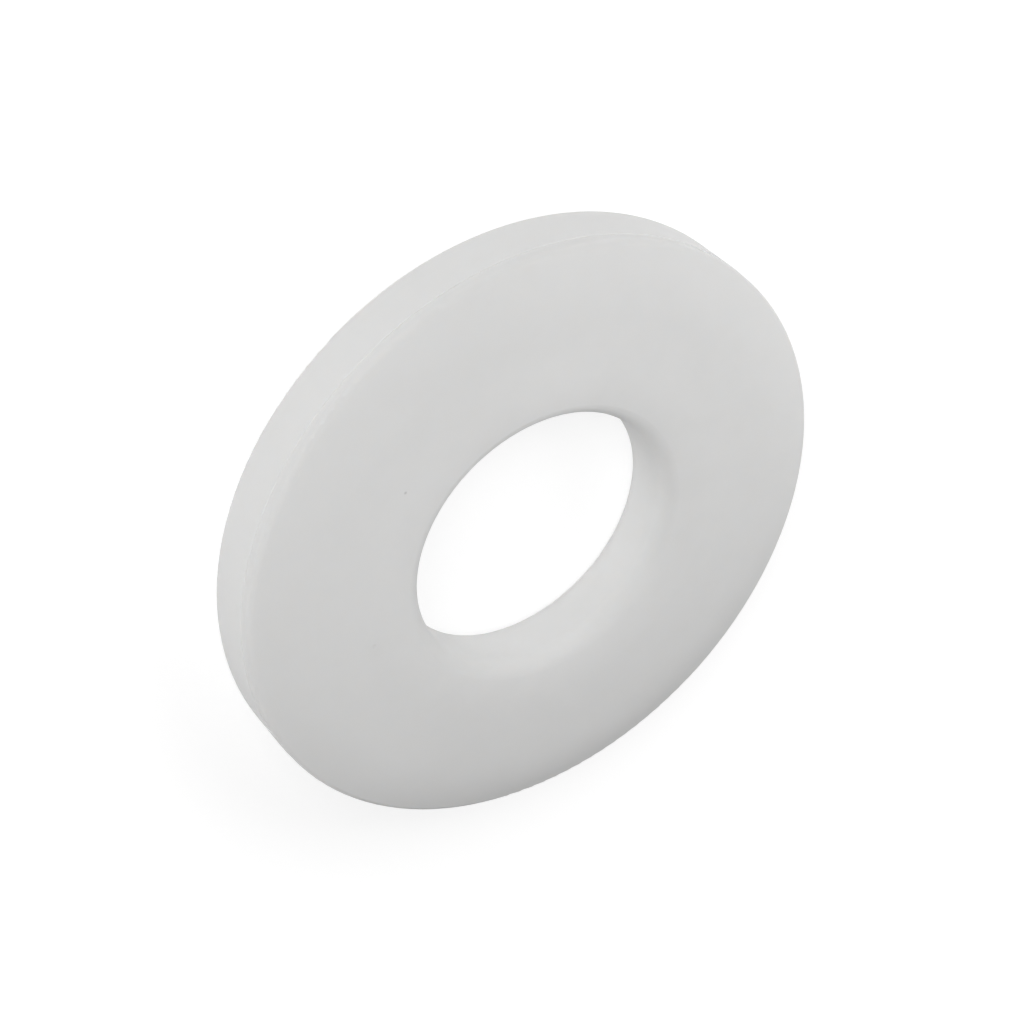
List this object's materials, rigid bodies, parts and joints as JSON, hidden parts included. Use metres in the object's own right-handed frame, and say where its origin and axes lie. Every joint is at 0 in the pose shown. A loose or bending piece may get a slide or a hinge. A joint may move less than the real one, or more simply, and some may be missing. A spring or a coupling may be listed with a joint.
{
  "type": "wear ring",
  "caption": "Flat thick moulded plastic ring with a plain central bore and softly crowned edges, which takes the rub between two parts.",
  "frame": {"origin": "on the bore's axis, in the plane of the back face that the ring lies on", "axes": "+Z along the bore's axis, out through the front face that the picture shows; X and Y are any two directions across the ring, which is round"},
  "size_m": [0.0508, 0.0508, 0.0063],
  "materials": {
    "ring_plastic": "milky white, satin, slightly translucent, as moulded"
  },
  "bodies": {
    "root": {"wear_ring": "ring_plastic"}
  },
  "joints": []
}
